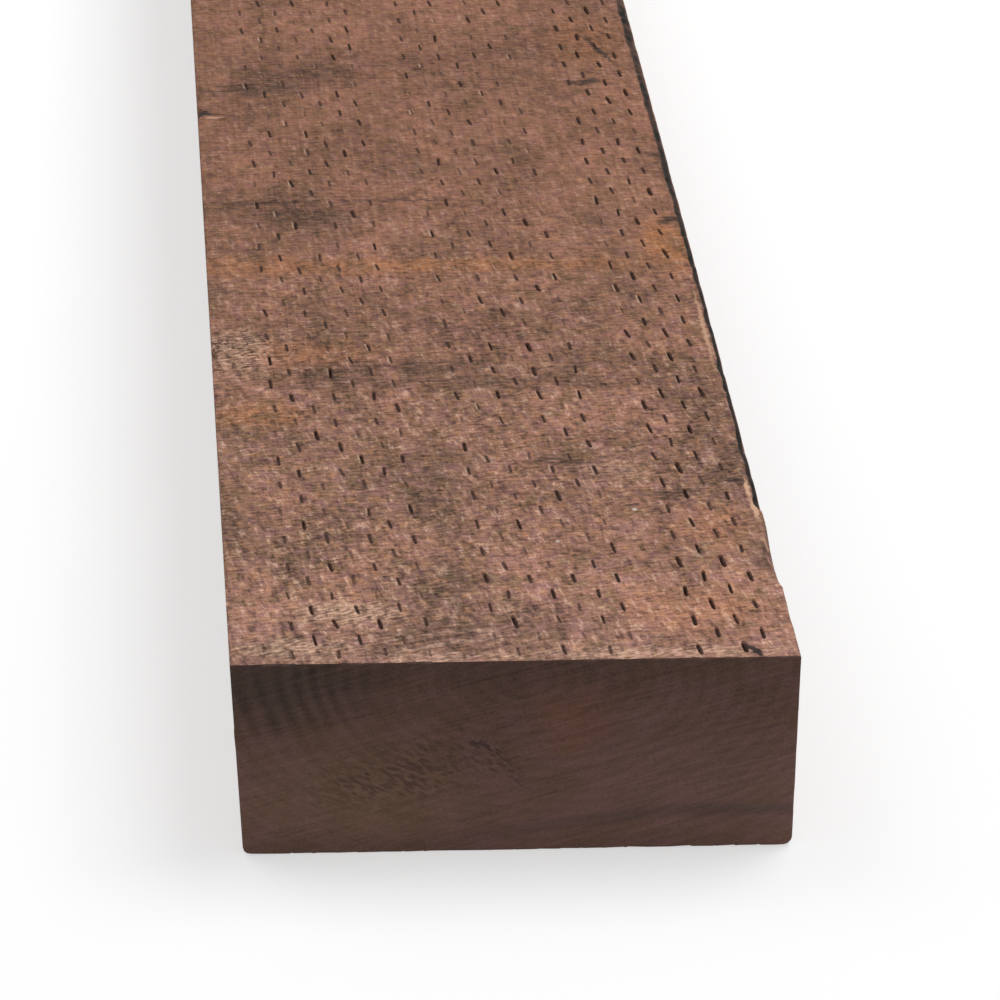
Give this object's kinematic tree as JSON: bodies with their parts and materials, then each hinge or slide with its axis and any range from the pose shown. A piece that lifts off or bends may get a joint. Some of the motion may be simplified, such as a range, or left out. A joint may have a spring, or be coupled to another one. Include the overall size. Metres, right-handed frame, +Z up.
{
  "type": "treated timber beam",
  "caption": "Rectangular length of brown treated softwood with incised, rough-sawn faces, square sawn ends and some wane on one upper arris, used as a beam, post or sleeper.",
  "frame": {"origin": "middle of the face that the beam lies on", "axes": "+Y along the length, away from the end shown foremost; +X to the right across the width; +Z up, through the thickness"},
  "size_m": [0.235, 2.4384, 0.0889],
  "materials": {
    "treated_timber": "matte rough-sawn brown treated softwood"
  },
  "bodies": {
    "root": {"beam": "treated_timber"}
  },
  "joints": []
}
